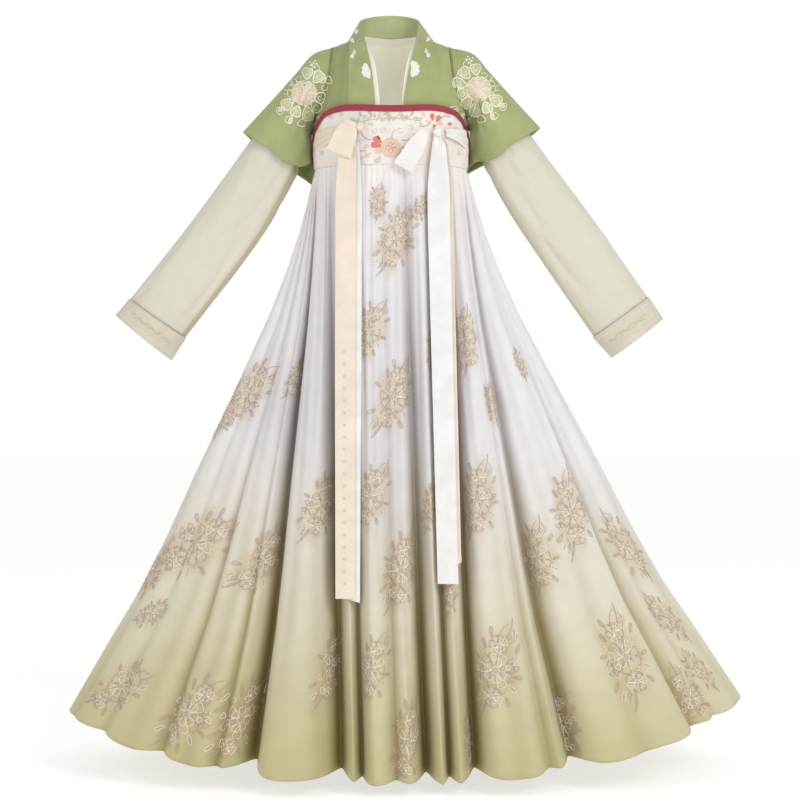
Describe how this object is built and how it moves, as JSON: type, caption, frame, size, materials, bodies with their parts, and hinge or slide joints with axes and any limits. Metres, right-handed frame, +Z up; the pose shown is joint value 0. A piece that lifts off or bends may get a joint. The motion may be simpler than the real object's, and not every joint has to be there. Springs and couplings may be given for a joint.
{
  "type": "hanfu robe outfit",
  "caption": "Filled-out hollow outfit: sheer long-sleeved under-shirt, short open-front half-sleeve jacket, chest-high pleated skirt on an embroidered band, and two knotted ties.",
  "frame": {"origin": "middle of the neck base, level with the tops of the shoulders, where the wearer holds the outfit", "axes": "+Z up from hem to neck, -Y to the front (the chest band's flowers face -Y), +X to the right of a viewer who faces the front"},
  "size_m": [1.3235, 0.7092, 1.4483],
  "materials": {
    "shirt_cloth": "sheer chiffon, pale green-cream",
    "shirt_cuffs": "opaque cream facing with a small embroidered row",
    "jacket_cloth": "semi-sheer moss-green chiffon with thread embroidery at the shoulders",
    "jacket_collar": "doubled moss-green band with thread embroidery",
    "chest_band": "cream satin, embroidered with flowers and leaf sprays",
    "band_piping": "crimson binding",
    "skirt_cloth": "printed chiffon over lining, off-white at the band to khaki at the hem",
    "tie_cream": "cream satin ribbon",
    "tie_white": "white satin ribbon"
  },
  "bodies": {
    "root": {"shirt_front_left": "shirt_cloth", "shirt_front_right": "shirt_cloth", "shirt_back": "shirt_cloth", "shirt_sleeve_left": "shirt_cloth", "shirt_sleeve_right": "shirt_cloth", "shirt_neckband": "shirt_cloth", "shirt_cuff_left": "shirt_cuffs", "shirt_cuff_right": "shirt_cuffs", "jacket_front_left": "jacket_cloth", "jacket_front_right": "jacket_cloth", "jacket_back": "jacket_cloth", "jacket_sleeve_left": "jacket_cloth", "jacket_sleeve_right": "jacket_cloth", "jacket_collar": "jacket_collar", "skirt_band_front": "chest_band", "skirt_band_back": "chest_band", "band_piping_front": "band_piping", "band_piping_back": "band_piping", "skirt_front": "skirt_cloth", "skirt_back": "skirt_cloth", "tie_left_strap": "tie_cream", "tie_left_knot": "tie_cream", "tie_left_loop": "tie_cream", "tie_left_tail": "tie_cream", "tie_right_under": "tie_cream", "tie_right_strap": "tie_white", "tie_right_knot": "tie_white", "tie_right_loop": "tie_white", "tie_right_tail": "tie_white", "tie_left_under": "tie_white"}
  },
  "joints": []
}
